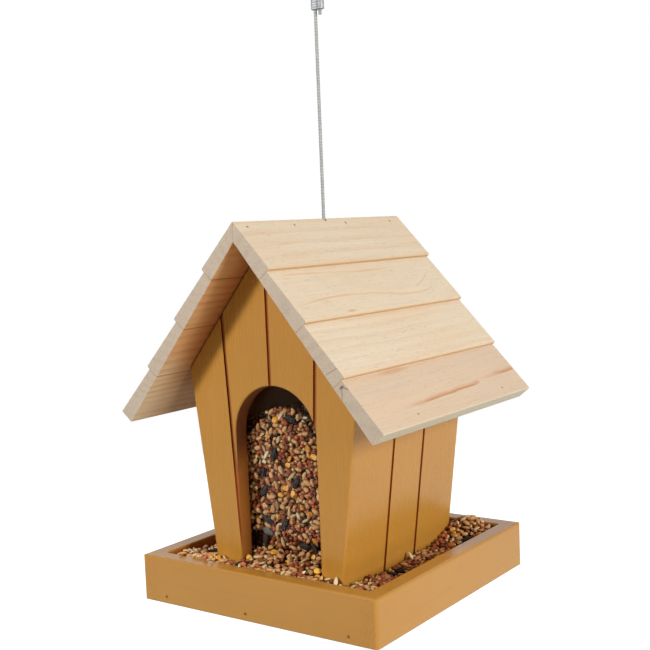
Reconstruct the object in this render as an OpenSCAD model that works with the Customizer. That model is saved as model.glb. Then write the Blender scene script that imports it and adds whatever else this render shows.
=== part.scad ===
// Hanging bird feeder: a tapered wooden house on a square tray, under a stepped gable roof.
// Millimetres, +Z up, front gable towards -Y. The origin is the middle of the tray's underside.

/* [Tray] */
// Width of the tray, left to right
tray_w = 202; // [190:1:240]
// Depth of the tray, front to back
tray_d = 202; // [190:1:240]
// Height of the rails around the tray
rail_h = 33.5; // [30:0.5:45]
// Thickness of the rails
rail_t = 13; // [9:0.5:15]
// Rounding of the rails' long edges
rail_round = 1.8; // [0.6:0.2:3]
// Rounding of the tray's four upright corners
corner_round = 2.5; // [1:0.5:5]
// Thickness of the floor board, which is set between the rails
floor_t = 11; // [9:0.5:14]

/* [House] */
// Width of the house across its foot, on the floor board
foot_w = 106; // [98:1:120]
// Depth of the house over both gables
house_d = 142; // [124:1:154]
// Thickness of the gables and of the leaning sides
wall_t = 12; // [10:0.5:14]
// Rounding of the gables' outer edges and of the arch's outer edge
edge_round = 1.5; // [0.6:0.1:2.5]
// Outward lean of the sides, in degrees
lean = 7.4; // [4:0.2:9]
// Width of the grooves between the painted planks
groove_w = 2.8; // [1:0.2:3.4]
// Depth of the grooves
groove_deep = 1.4; // [0.6:0.2:2.4]
// Distance of a gable's outer grooves from its middle, at the floor board
gable_groove_x = 29.8; // [20:0.1:34]
// Outward lean of those outer grooves, in degrees
gable_groove_lean = 3.2; // [0:0.2:5]
// Width of the middle plank of a side
side_plank_w = 40; // [30:1:50]

/* [Window] */
// Width of the arched window
arch_w = 70; // [56:1:72]
// Height of the arch's top above the floor board
arch_h = 146.5; // [120:0.5:160]
// How far the window stands off the gable's middle
arch_x = 2; // [-3:0.5:3]
// Thickness of the clear pane behind each window
pane_t = 2; // [1.5:0.5:3]
// Width of the pane
pane_w = 86; // [83:0.5:87]
// How far the pane reaches over the top of the arch
pane_over = 8; // [6:0.5:14]
// Height of the feeding gap between the floor board and the pane
feed_gap = 29; // [22:1:40]

/* [Roof] */
// Height of the roof's underside at the ridge
roof_z = 257.2; // [245:0.2:270]
// Slope of the roof's underside, in degrees
slope = 50.7; // [46:0.1:54]
// Length of the roof along the ridge
roof_l = 202; // [180:1:230]
// How far forward of the house's middle the loose roof sits
roof_forward = 1.5; // [0:0.5:3]
// Length of each slope along its underside
slope_l = 163.3; // [150:0.1:175]
// Width of the three lower boards of a slope
board_w = 43.7; // [38:0.1:46]
// Thickness of a board at its upper edge
board_thin = 8.3; // [7:0.1:10]
// Thickness of a board at its lower edge
board_thick = 11.3; // [10:0.1:14]
// Chamfer along each board's lower edge
board_ease = 0.8; // [0.4:0.1:1.2]
// Diameter of the hole in the ridge for the cable
ridge_hole_d = 3.6; // [3.2:0.1:6]
// Gap between the loose roof and the house under it
roof_gap = 0.3; // [0.2:0.1:1]

/* [Hanging gear] */
// Diameter of the wooden crossbar under the ridge
bar_d = 16; // [13:0.5:18]
// Height of the crossbar's axis
bar_z = 229; // [220:0.5:234]
// Depth of the crossbar's sockets in the gables
socket_deep = 6; // [4:0.5:8]
// Diameter of the steel cable
cable_d = 2.4; // [1.6:0.1:2.6]
// Diameter of the cable's hole in the crossbar and in the washer
bar_hole_d = 3.2; // [2.8:0.1:4]
// Outer diameter of the washer under the crossbar
washer_d = 10; // [8:0.5:12]
// Thickness of that washer
washer_t = 1.5; // [1:0.1:2.5]
// Diameter of the sleeve crimped on the cable under the washer
stop_d = 6; // [5:0.5:8]
// Length of that sleeve
stop_l = 9; // [6:0.5:12]
// Thickness of the double sleeve that closes the hanging loop
ferrule_t = 6.2; // [5:0.2:7]
// Height of the lower end of that double sleeve
ferrule_z = 418.5; // [417.5:0.1:419.5]
// Length of that double sleeve
ferrule_l = 12; // [10:0.5:14]

/* [Brads and screws] */
// Diameter of a brad's shank
brad_d = 1.4; // [1:0.1:2]
// Diameter of a brad's head
brad_head_d = 2.2; // [2.1:0.1:3]
// Length of a brad
brad_l = 25; // [20:1:30]
// Length of a brad at the ridge
ridge_brad_l = 16; // [13:1:18]
// How deep the heads of the brads are set
brad_sink = 0.3; // [0.1:0.1:0.6]
// Diameter of the floor screws
screw_d = 3; // [2.5:0.1:3.5]
// Diameter of their countersunk heads
screw_head_d = 6; // [5:0.5:7]
// Length of the floor screws
screw_l = 28; // [22:1:34]
// Distance of the sides' floor screws from the middle
side_screw_y = 35; // [25:1:45]
// Diameter of the pane screws
pin_d = 2; // [1.6:0.1:2.2]
// Diameter of the pane screws' heads
pin_head_d = 4.4; // [4:0.1:5]
// Height of the pane screws' heads
pin_head_t = 1.4; // [1:0.1:2]
// How deep the pane screws go into the gable
pin_deep = 8; // [6:0.5:9]

/* [Seed] */
// Height of the seed in the house above the floor board
seed_fill = 128; // [60:1:135]
// Height of the seed in the tray along the rails
seed_rail_z = 25; // [18:0.5:29.5]
// Height of the seed in the tray along the house
seed_wall_z = 29; // [20:0.5:32]
// Height of the seed under the panes, in the feeding gaps
seed_mouth_z = 36; // [24:0.5:38]

/* [Hidden] */
$fn = 48;

ochre = [0.71, 0.51, 0.25];
ochre_edge = [0.73, 0.55, 0.34];
pine = [0.89, 0.80, 0.69];
pine_dark = [0.85, 0.74, 0.60];
steel = [0.62, 0.62, 0.60];
bright = [0.80, 0.80, 0.82];
clear = [0.80, 0.90, 0.95, 0.4];
grain = [0.60, 0.42, 0.27];

// Small allowances
past = 1;          // how far a cut runs past the face that it cuts
seed_gap = 0.4;    // room between the seed and the walls around it
seed_step = 3;     // room between the seed and each pane
bar_play = 0.05;   // room around the crossbar in its sockets
bar_end_play = 0.2;
brad_head_t = 0.6;
screw_tip = 2;     // length of a floor screw's pointed end
arch_pin_room = 3; // from the arch's edge to the pane screws beside it
pin_low_room = 8;  // from the pane's foot to its lower screws
pin_high_room = 5; // from the pane's top to its upper screws
bar_flat_deep = 1.5; // depth of the washer's flat in the crossbar
washer_room = 1;   // how much wider that flat is than the washer
side_screw_out = 0.7; // how far the sides' floor screws stand outside the middle of the wall
ridge_brad_x = 3.4; // from the ridge to the heads of its brads
ridge_brad_rise = 4; // how much flatter the ridge board's top is than its underside, in degrees

// The house's outline
lean_run = tan(lean);
slope_run = tan(slope);
inner_t = wall_t / cos(lean);
inner_d = house_d - 2 * wall_t;
gable_top_z = roof_z - roof_gap / cos(slope);
floor_w = tray_w - 2 * rail_t;
floor_d = tray_d - 2 * rail_t;
function half_w(z) = foot_w / 2 + (z - floor_t) * lean_run;
function meets_roof(foot) = (foot + (gable_top_z - floor_t) * lean_run) / (1 + slope_run * lean_run);
function under_roof(x) = gable_top_z - x * slope_run;
shoulder_x = meets_roof(foot_w / 2);
inner_shoulder_x = meets_roof(foot_w / 2 - inner_t);
arch_r = arch_w / 2;
arch_spring_z = floor_t + arch_h - arch_r;
pane_z = floor_t + feed_gap;
pane_top_z = floor_t + arch_h + pane_over;
pin_x = arch_r + abs(arch_x) + arch_pin_room;
pin_low_z = pane_z + pin_low_room;
pin_high_z = pane_top_z - pin_high_room;

// Slope coordinates: along is measured down the underside from the ridge, out is square to it
function on_slope(along, out) = [
    along * cos(slope) + out * sin(slope),
    roof_z - along * sin(slope) + out * cos(slope)
];
apex_z = roof_z + board_thin / cos(slope);
roof_front = roof_forward + roof_l / 2;

// Hanging gear
bar_l = inner_d + 2 * (socket_deep - bar_end_play);
bar_flat = bar_d / 2 - bar_flat_deep;
stop_top_z = bar_z - bar_flat - washer_t;
stop_z = stop_top_z - stop_l;
tail_x = 4;
// The cable's route in the plane y = 0, as x and z: up from its stop, round the loop and down
cable_start = 0.5;
cable_route = [
    [0, 240], [0, 260], [0, 280], [0, 300], [0, 320], [0, 340], [0, 360], [0, 380], [0, 400], [0, 420],
    [0, 431], [-1, 435], [-3, 440], [-5.2, 445], [-6.7, 450], [-7, 455], [-5.7, 460], [-2.5, 463.3],
    [2, 464.5], [6.5, 463.3], [9.7, 460], [11, 455], [10.7, 450], [9.2, 445], [7, 440], [5, 435],
    [4, 431], [4, 423], [4, 415]
];
cable_sides = 8;

// Ring centres a few diameters apart on a smooth line through the route's points
route = concat([[0, stop_z + cable_start]], cable_route);
route_n = len(route);
function route_at(i) = route[max(0, min(route_n - 1, i))];
function blend_at(i, t) = let (a = route_at(i - 1), b = route_at(i), c = route_at(i + 1), d = route_at(i + 2))
    0.5 * (2 * b + (c - a) * t + (2 * a - 5 * b + 4 * c - d) * t * t + (3 * b - a - 3 * c + d) * t * t * t);
function parts_of(i) = max(1, round(norm(route_at(i + 1) - route_at(i)) / (3 * cable_d)));
line = [
    for (i = [0:route_n - 2], k = [0:parts_of(i) - 1]) blend_at(i, k / parts_of(i)),
    route_at(route_n - 1)
];
line_n = len(line);
function heading(i) = let (v = line[min(line_n - 1, i + 1)] - line[max(0, i - 1)]) v / norm(v);
tube_points = [
    for (i = [0:line_n - 1], k = [0:cable_sides - 1])
        let (h = heading(i), a = 360 * k / cable_sides, across = cable_d / 2 * cos(a), side = cable_d / 2 * sin(a))
        [line[i][0] + across * h[1], side, line[i][1] - across * h[0]]
];
tube_faces = [
    for (i = [0:line_n - 2], k = [0:cable_sides - 1], half = [0, 1])
        let (a = i * cable_sides + k, b = i * cable_sides + (k + 1) % cable_sides)
        half == 0 ? [a, b, b + cable_sides] : [a, b + cable_sides, a + cable_sides],
    [for (k = [cable_sides - 1:-1:0]) k],
    [for (k = [0:cable_sides - 1]) (line_n - 1) * cable_sides + k]
];

// Where the brads and screws stand
rail_brad_share = [0.11, 0.47, 0.89];
ridge_brad_share = [0.055, 0.31, 0.62, 0.92];
gable_y = house_d / 2 - wall_t / 2;
leg_left_x = (arch_x - arch_r - foot_w / 2) / 2;
leg_right_x = (arch_x + arch_r + foot_w / 2) / 2;
side_screw_x = foot_w / 2 - inner_t / 2 + side_screw_out;

module rounded_plan(w, d, r) {
    square([w - 2 * r, d], center = true);
    square([w, d - 2 * r], center = true);
    for (x = [-1, 1], y = [-1, 1])
        translate([x * (w / 2 - r), y * (d / 2 - r)]) circle(r);
}

// A brad driven down from z = 0, with its head set a little under that surface
module brad(length) {
    translate([0, 0, -brad_sink - brad_head_t]) cylinder(h = brad_head_t, d = brad_head_d);
    translate([0, 0, -brad_sink - length]) cylinder(h = length - brad_head_t, d = brad_d);
}

// The hole that a brad leaves, open to the surface above its head
module brad_hole(length) {
    translate([0, 0, -brad_sink - brad_head_t])
        cylinder(h = brad_head_t + brad_sink + past, d = brad_head_d);
    translate([0, 0, -brad_sink - length]) cylinder(h = length - brad_head_t, d = brad_d);
}

// Rails and floor board

// A rail along X, centred, with its outer face at y = 0
module rail_bar(length) {
    translate([-length / 2, rail_t / 2, rail_h / 2]) rotate([90, 0, 90])
        linear_extrude(length) rounded_plan(rail_t, rail_h, rail_round);
}

// Puts its children at the front rail (0) or the back rail (180)
module at_end(turn) {
    rotate([0, 0, turn]) translate([0, -tray_d / 2, 0]) children();
}

// Puts its children at each brad of a rail, pointing through it into the floor board
module at_rail_brads() {
    for (share = rail_brad_share)
        translate([(share - 0.5) * tray_w, 0, floor_t / 2]) rotate([90, 0, 0]) children();
}

// A front or back rail stands between the side rails, bradded to the floor board
module end_rail() {
    difference() {
        rail_bar(floor_w);
        at_rail_brads() brad_hole(brad_l);
    }
}

// A side rail runs the whole depth, and its end grain shows at both ends. Its inner edges are square where
// the end rails meet it, and its ends are rounded above and below as those rails are.
module side_rail() {
    intersection() {
        union() {
            translate([tray_w / 2, 0, 0]) rotate([0, 0, 90]) rail_bar(tray_d);
            for (y = [-tray_d / 2, floor_d / 2])
                translate([floor_w / 2, y, 0]) cube([rail_t / 2, rail_t, rail_h]);
        }
        linear_extrude(rail_h) rounded_plan(tray_w, tray_d, corner_round);
        translate([0, 0, rail_h / 2]) rotate([90, 0, 90])
            linear_extrude(tray_w) rounded_plan(tray_d, rail_h, rail_round);
    }
}

module tray_rail_front() { color(ochre) at_end(0) end_rail(); }
module tray_rail_back() { color(ochre) at_end(180) end_rail(); }
module tray_rail_right() { color(ochre_edge) side_rail(); }
module tray_rail_left() { color(ochre_edge) rotate([0, 0, 180]) side_rail(); }

module every_rail_brad() {
    for (turn = [0, 180]) at_end(turn) at_rail_brads() children();
}

module tray_brads() {
    color(steel) every_rail_brad() brad(brad_l);
}

// Puts its children at each floor screw, under the floor board
module at_floor_screws() {
    for (turn = [0, 180]) rotate([0, 0, turn]) {
        for (x = [leg_left_x, leg_right_x]) translate([x, -gable_y, 0]) children();
        for (y = [-side_screw_y, side_screw_y]) translate([side_screw_x, y, 0]) children();
    }
}

// A countersunk screw pointing up, with its head flush at z = 0
module floor_screw() {
    head = (screw_head_d - screw_d) / 2;
    cylinder(h = head, d1 = screw_head_d, d2 = screw_d);
    cylinder(h = screw_l - screw_tip, d = screw_d);
    translate([0, 0, screw_l - screw_tip]) cylinder(h = screw_tip, d1 = screw_d, d2 = screw_d / 4);
}

module floor_screws() {
    color(steel) at_floor_screws() floor_screw();
}

module tray_floor() {
    color(ochre) difference() {
        translate([-floor_w / 2, -floor_d / 2, 0]) cube([floor_w, floor_d, floor_t]);
        every_rail_brad() brad_hole(brad_l);
        at_floor_screws() floor_screw();
    }
}

// House

module arch_shape() {
    translate([arch_x, arch_spring_z]) circle(arch_r, $fn = 96);
    translate([arch_x - arch_r, floor_t - past]) square([arch_w, arch_spring_z - floor_t + past]);
}

module gable_shape() {
    polygon([
        [-foot_w / 2, floor_t], [foot_w / 2, floor_t], [shoulder_x, under_roof(shoulder_x)],
        [0, gable_top_z], [-shoulder_x, under_roof(shoulder_x)]
    ]);
}

// The grooves of a gable, as seen from outside, cut down from the ridge to the floor board
module gable_grooves() {
    for (side = [-1, 0, 1])
        translate([side * gable_groove_x, -past, floor_t]) rotate([0, side * gable_groove_lean, 0])
            translate([-groove_w / 2, 0, -floor_t]) cube([groove_w, past + groove_deep, roof_z + floor_t]);
}

// What is cut off a corner at the origin to round it, where the solid has positive x and y
module corner_waste() {
    difference() {
        translate([-past, -past]) square(edge_round + past);
        translate([edge_round, edge_round]) circle(edge_round);
    }
}

// Rounds the outer edges of a gable, up along its leaning edges and along its slopes
module round_gable_edges() {
    for (side = [0, 1]) mirror([side, 0, 0]) {
        translate([foot_w / 2, 0, floor_t]) rotate([0, lean, 0]) mirror([1, 0, 0])
            translate([0, 0, -2 * past]) linear_extrude(roof_z) corner_waste();
        translate([0, 0, gable_top_z]) rotate([0, 90 + slope, 0])
            translate([0, 0, -past]) linear_extrude(slope_l) corner_waste();
    }
}

// Rounds the outer edge of the arch, up its two legs and over its top
module round_arch_edge() {
    translate([arch_x, 0, 0]) {
        for (side = [0, 1]) mirror([side, 0, 0])
            translate([arch_r, 0, floor_t - past]) linear_extrude(arch_spring_z - floor_t + past)
                corner_waste();
        translate([0, 0, arch_spring_z]) rotate([-90, 0, 0])
            rotate_extrude($fn = 96) translate([arch_r, 0]) corner_waste();
    }
}

// Puts its children at each pane screw of the front gable, pointing out through the gable
module at_pane_screws() {
    for (x = [-pin_x, pin_x], z = [pin_low_z, pin_high_z])
        translate([x, wall_t + pane_t, z]) rotate([90, 0, 0]) children();
}

// A gable with its outer face at y = 0
module gable() {
    difference() {
        translate([0, wall_t, 0]) rotate([90, 0, 0]) linear_extrude(wall_t) difference() {
            gable_shape();
            arch_shape();
        }
        gable_grooves();
        round_gable_edges();
        round_arch_edge();
        translate([0, wall_t - socket_deep, bar_z]) rotate([-90, 0, 0])
            cylinder(h = socket_deep + past, r = bar_d / 2 + bar_play);
        at_pane_screws() cylinder(h = pane_t + pin_deep, d = pin_d);
        translate([0, house_d / 2, 0]) at_floor_screws() floor_screw();
    }
}

// Puts its children at a gable: 0 is the front one, 180 the back one
module at_gable(turn) {
    rotate([0, 0, turn]) translate([0, -house_d / 2, 0]) children();
}

module gable_front() { color(ochre) at_gable(0) gable(); }
module gable_back() { color(ochre) at_gable(180) gable(); }

// A pane lies on the inner face of its gable
module window_pane() {
    difference() {
        translate([-pane_w / 2, wall_t, pane_z]) cube([pane_w, pane_t, pane_top_z - pane_z]);
        at_pane_screws() translate([0, 0, -past]) cylinder(h = pane_t + 2 * past, d = pin_d);
    }
}

module window_front() { color(clear) at_gable(0) window_pane(); }
module window_back() { color(clear) at_gable(180) window_pane(); }

module window_screws() {
    color(steel) for (turn = [0, 180]) at_gable(turn) at_pane_screws() {
        cylinder(h = pane_t + pin_deep, d = pin_d);
        translate([0, 0, -pin_head_t]) cylinder(h = pin_head_t, d = pin_head_d);
    }
}

module side_right() {
    color(ochre_edge) difference() {
        translate([0, inner_d / 2, 0]) rotate([90, 0, 0]) linear_extrude(inner_d) polygon([
            [foot_w / 2 - inner_t, floor_t], [foot_w / 2, floor_t],
            [shoulder_x, under_roof(shoulder_x)], [inner_shoulder_x, under_roof(inner_shoulder_x)]
        ]);
        for (y = [-side_plank_w / 2, side_plank_w / 2])
            translate([foot_w / 2, y, floor_t]) rotate([0, lean, 0])
                translate([-groove_deep, -groove_w / 2, -floor_t])
                    cube([groove_deep + past, groove_w, roof_z]);
        at_floor_screws() floor_screw();
    }
}

module side_left() { rotate([0, 0, 180]) side_right(); }

// Crossbar and cable

module crossbar() {
    color(pine_dark) difference() {
        translate([0, -bar_l / 2, bar_z]) rotate([-90, 0, 0]) cylinder(h = bar_l, d = bar_d);
        translate([0, 0, bar_z - bar_d]) cylinder(h = 2 * bar_d, d = bar_hole_d);
        translate([0, 0, bar_z - bar_d]) cylinder(h = bar_d - bar_flat, d = washer_d + washer_room);
    }
}

module cable_washer() {
    color(steel) translate([0, 0, stop_top_z]) difference() {
        cylinder(h = washer_t, d = washer_d);
        translate([0, 0, -past]) cylinder(h = washer_t + 2 * past, d = bar_hole_d);
    }
}

module cable_stop() {
    color(bright) translate([0, 0, stop_z]) cylinder(h = stop_l, d = stop_d);
}

module hanging_cable() {
    color(steel) polyhedron(tube_points, tube_faces, convexity = 4);
}

module loop_ferrule() {
    color(bright) translate([0, 0, ferrule_z]) linear_extrude(ferrule_l) {
        for (x = [0, tail_x]) translate([x, 0]) circle(d = ferrule_t);
        translate([0, -ferrule_t / 2]) square([tail_x, ferrule_t]);
    }
}

// Roof

// Slope distance from the ridge to the upper edge of a board, 1 being the ridge board
function board_top(i) = i == 1 ? 0 : slope_l - (5 - i) * board_w;
function board_foot(i) = slope_l - (4 - i) * board_w;

// Cross-section of one board of the right slope, thicker at its lower edge
module board_shape(i) {
    foot = board_foot(i);
    top = board_top(i);
    polygon([
        on_slope(top, 0), on_slope(foot, 0), on_slope(foot, board_thick - board_ease),
        on_slope(foot - board_ease, board_thick - board_ease / 4),
        i == 1 ? [0, apex_z] : on_slope(top, board_thin)
    ]);
}

// Puts its children at each ridge brad, square to the right slope near the ridge
module at_ridge_brads() {
    top_slope = slope - ridge_brad_rise;
    for (share = ridge_brad_share)
        translate([ridge_brad_x, share * roof_l - roof_front, apex_z - ridge_brad_x * tan(top_slope)])
            rotate([0, top_slope, 0]) children();
}

// The cable's hole, cut from below the sloping underside at the hole's edge
module ridge_hole() {
    low_z = roof_z - ridge_hole_d / 2 * slope_run - past;
    translate([0, 0, low_z]) cylinder(h = apex_z + past - low_z, d = ridge_hole_d);
}

module board_right(i) {
    difference() {
        translate([0, roof_l - roof_front, 0]) rotate([90, 0, 0]) linear_extrude(roof_l) board_shape(i);
        if (i == 1) {
            ridge_hole();
            at_ridge_brads() brad_hole(ridge_brad_l);
        }
    }
}

module board_left(i) {
    difference() {
        mirror([1, 0, 0]) translate([0, roof_l - roof_front, 0]) rotate([90, 0, 0])
            linear_extrude(roof_l) board_shape(i);
        if (i == 1) {
            ridge_hole();
            at_ridge_brads() brad_hole(ridge_brad_l);
        }
    }
}

module roof_right_1() { color(pine) board_right(1); }
module roof_right_2() { color(pine_dark) board_right(2); }
module roof_right_3() { color(pine) board_right(3); }
module roof_right_4() { color(pine_dark) board_right(4); }
module roof_left_1() { color(pine_dark) board_left(1); }
module roof_left_2() { color(pine) board_left(2); }
module roof_left_3() { color(pine_dark) board_left(3); }
module roof_left_4() { color(pine) board_left(4); }

module ridge_brads() {
    color(steel) at_ridge_brads() brad(ridge_brad_l);
}

// Seed

// The heap inside the house, between the sides and behind both panes
module seed_hopper() {
    top = floor_t + seed_fill;
    long = inner_d - 2 * (pane_t + seed_step);
    low_x = half_w(floor_t) - inner_t - seed_gap;
    high_x = half_w(top) - inner_t - seed_gap;
    color(grain) translate([0, long / 2, 0]) rotate([90, 0, 0]) linear_extrude(long) polygon([
        [-low_x, floor_t], [low_x, floor_t], [high_x, top], [-high_x, top]
    ]);
}

// A heap in front of a gable, with a tongue through the feeding gap to the seed inside
module seed_gable_heap() {
    rail_y = floor_d / 2 - seed_gap;
    wall_y = house_d / 2 + seed_gap;
    in_y = inner_d / 2 - pane_t - seed_step;
    tongue_w = arch_w - 2 * seed_gap;
    under_pane_y = inner_d / 2;
    translate([-floor_w / 2 + seed_gap, 0, 0]) rotate([90, 0, 90])
        linear_extrude(floor_w - 2 * seed_gap) polygon([
            [-rail_y, floor_t], [-rail_y, seed_rail_z], [-wall_y, seed_wall_z], [-wall_y, floor_t]
        ]);
    translate([arch_x - tongue_w / 2, 0, 0]) rotate([90, 0, 90]) linear_extrude(tongue_w) polygon([
        [-wall_y, floor_t], [-wall_y, seed_wall_z], [-under_pane_y, seed_mouth_z],
        [-in_y, seed_mouth_z], [-in_y, floor_t]
    ]);
}

// A heap between a leaning side and its rail
module seed_side_heap() {
    long = house_d;
    rail_x = floor_w / 2 - seed_gap;
    color(grain) translate([0, long / 2, 0]) rotate([90, 0, 0]) linear_extrude(long) polygon([
        [half_w(floor_t) + seed_gap, floor_t], [rail_x, floor_t], [rail_x, seed_rail_z],
        [half_w(seed_wall_z) + seed_gap, seed_wall_z]
    ]);
}

module seed_tray() {
    color(grain) for (turn = [0, 180]) rotate([0, 0, turn]) {
        seed_gable_heap();
        seed_side_heap();
    }
}

tray_floor();
tray_rail_front();
tray_rail_back();
tray_rail_left();
tray_rail_right();
tray_brads();
floor_screws();
gable_front();
gable_back();
side_left();
side_right();
window_front();
window_back();
window_screws();
crossbar();
cable_washer();
cable_stop();
hanging_cable();
loop_ferrule();
roof_right_1();
roof_right_2();
roof_right_3();
roof_right_4();
roof_left_1();
roof_left_2();
roof_left_3();
roof_left_4();
ridge_brads();
seed_hopper();
seed_tray();
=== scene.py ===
"""A hanging bird feeder: a stained house on a railed tray, a stepped pine roof, mixed seed and a steel cable.

Lengths are metres. Names that end in _MM are millimetres, _DEG degrees and _PX pixels of the photograph.
The frame's origin is the middle of the tray's underside, with the front gable towards -Y.
"""

from math import cos, exp, pi, radians, sin, sqrt, tan

import bpy
import numpy as np
from mathutils import Matrix, Vector


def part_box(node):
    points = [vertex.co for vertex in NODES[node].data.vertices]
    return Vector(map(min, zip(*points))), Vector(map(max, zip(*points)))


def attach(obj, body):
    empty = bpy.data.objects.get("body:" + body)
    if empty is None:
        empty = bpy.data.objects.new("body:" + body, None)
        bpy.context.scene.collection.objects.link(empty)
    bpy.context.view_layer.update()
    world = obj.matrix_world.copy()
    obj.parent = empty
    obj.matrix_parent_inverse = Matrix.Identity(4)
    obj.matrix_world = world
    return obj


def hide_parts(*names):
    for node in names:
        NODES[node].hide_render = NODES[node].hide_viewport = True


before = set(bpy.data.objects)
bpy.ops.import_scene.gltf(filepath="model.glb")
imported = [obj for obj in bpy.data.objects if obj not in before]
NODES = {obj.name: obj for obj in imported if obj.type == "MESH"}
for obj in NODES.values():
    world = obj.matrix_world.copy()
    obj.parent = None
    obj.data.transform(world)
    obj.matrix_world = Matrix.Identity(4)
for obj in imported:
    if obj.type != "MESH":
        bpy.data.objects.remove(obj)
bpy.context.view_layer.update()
MM = 0.001

# Camera, solved from the photographed corners
PHOTO_PX = 650
FOCUS_PX = 1123.5
SENSOR_MM = 36.0
AZIMUTH_DEG = 35.88
ELEVATION_DEG = 5.21
ROLL_DEG = -2.33
CAMERA_AT = Vector((0.4782, -0.6649, 0.2674))

# Sizes of the model that the pieces and finishes follow
FLOOR_TOP_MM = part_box("tray_floor")[1].z / MM
RAIL_X_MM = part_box("tray_floor")[1].x / MM
RAIL_TOP_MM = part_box("tray_rail_front")[1].z / MM
GABLE_Y_MM = -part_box("gable_front")[0].y / MM
PANE_Y_MM = -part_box("window_front")[1].y / MM
PANE_Z_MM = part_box("window_front")[0].z / MM
ROOF_Z_MM = 257.2
SLOPE = radians(50.7)
LEAN = radians(7.4)
FOOT_HALF_MM = 53.0
WALL_MM = 12.0
ARCH_X_MM = 2.0
ARCH_HALF_MM = 35.0
GABLE_GROOVE_X_MM = 29.8
GABLE_GROOVE_LEAN = radians(3.2)
SIDE_GROOVE_Y_MM = 20.0
# A groove: its half width and soft edge, and its depth as a middle below the face, a half and a soft edge
GROOVE_WIDTH_MM = (1.5, 0.1)
GROOVE_DEPTH_MM = (0.8, 0.65, 0.1)
# Where the boards of a slope meet, down from the apex
ROOF_JOINTS_MM = (0.0, 32.2, 75.9, 119.6, 163.3)
EAVE_BOARD = len(ROOF_JOINTS_MM) - 2

# The cable's route in the plane y = 0, as x and z, from its stop up and round to the cut tail
CABLE_D = 0.0024
CABLE_ROUTE = [(0, z / 1000) for z in (212.5, *range(240, 421, 20), 431)] + [
    (-0.001, 0.435), (-0.003, 0.440), (-0.0052, 0.445), (-0.0067, 0.450), (-0.007, 0.455), (-0.0057, 0.460),
    (-0.0025, 0.4633), (0.002, 0.4645), (0.0065, 0.4633), (0.0097, 0.460), (0.011, 0.455), (0.0107, 0.450),
    (0.0092, 0.445), (0.007, 0.440), (0.005, 0.435), (0.004, 0.431), (0.004, 0.423), (0.004, 0.415),
]
CABLE_STEP = 0.0008
STRAND_LAY = 0.013
STRANDS = 6
SIDES_A_STRAND = 4
# How deep the grooves between the strands reach, as a share of the radius
STRAND_GROOVE = 0.84
# Where the double sleeve is pressed, as shares of its length
SLEEVE_PRESSES = (0.22, 0.5, 0.78)

# The lamps: azimuth and elevation in degrees, distance, width and power
LAMPS = {
    "front_left": (-17.5, 19, 1.5, 0.22, 14.9),
    "right_side": (85, 15, 1.5, 0.55, 17),
    "low_right": (80, -13, 1.2, 0.30, 2.4),
    "top": (40, 75, 1.6, 0.80, 4.4),
}
LAMPS_AIM = Vector((0, 0, 0.15))
AMBIENT = 0.16
STUDIO_Z = -0.22
STUDIO_RADIUS = 1.6
WHITE = (1, 1, 1, 1)


def colour(red, green, blue):
    """A colour given as it looks on screen, 0 to 255, as the shader's linear values."""
    shares = [value / 255 for value in (red, green, blue)]
    return (*(v / 12.92 if v <= 0.04045 else ((v + 0.055) / 1.055) ** 2.4 for v in shares), 1.0)


# Directions and the camera

def toward(azimuth_deg, elevation_deg):
    """A direction away from the house. Azimuth 0 is in front of it and 90 on its right."""
    azimuth, elevation = radians(azimuth_deg), radians(elevation_deg)
    level = cos(elevation)
    return Vector((sin(azimuth) * level, -cos(azimuth) * level, sin(elevation)))


def camera_axes():
    """The camera's right, up and backward directions, with its slight roll."""
    back, roll = toward(AZIMUTH_DEG, ELEVATION_DEG), radians(ROLL_DEG)
    level_right = (-back).cross(Vector((0, 0, 1))).normalized()
    level_up = level_right.cross(-back)
    right = level_right * cos(roll) + level_up * sin(roll)
    up = level_up * cos(roll) - level_right * sin(roll)
    return right, up, back


def seen_through(pixel):
    """The direction from the camera through a pixel of the photograph."""
    right, up, back = camera_axes()
    across_px, down_px = pixel[0] - PHOTO_PX / 2, pixel[1] - PHOTO_PX / 2
    return (right * across_px - up * down_px - back * FOCUS_PX).normalized()


def new_object(name, data):
    made = bpy.data.objects.new(name, data)
    bpy.context.scene.collection.objects.link(made)
    return made


def make_camera():
    camera = new_object("camera", bpy.data.cameras.new("camera"))
    camera.data.sensor_width = SENSOR_MM
    camera.data.lens = FOCUS_PX * SENSOR_MM / PHOTO_PX
    camera.data.clip_start = 0.01
    camera.matrix_world = Matrix(camera_axes()).transposed().to_4x4()
    camera.location = CAMERA_AT
    bpy.context.scene.camera = camera


# Meshes

def new_piece(name, points, faces, material, nodes, smooth=True):
    """A mesh that rides on the feeder in place of some of its nodes."""
    mesh = bpy.data.meshes.new(name)
    mesh.from_pydata([tuple(p) for p in points], [], [tuple(f) for f in faces])
    mesh.polygons.foreach_set("use_smooth", [smooth] * len(mesh.polygons))
    mesh.update()
    mesh.materials.append(material)
    piece = new_object(name, mesh)
    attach(piece, "feeder")
    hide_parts(*nodes)
    return piece


def tube_faces(rings, sides):
    """Quads between rings of points, and a cap at each end."""
    faces = [
        (i * sides + k, i * sides + (k + 1) % sides, (i + 1) * sides + (k + 1) % sides, (i + 1) * sides + k)
        for i in range(rings - 1) for k in range(sides)
    ]
    faces.append(tuple(range(sides - 1, -1, -1)))
    faces.append(tuple((rings - 1) * sides + k for k in range(sides)))
    return faces


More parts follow.
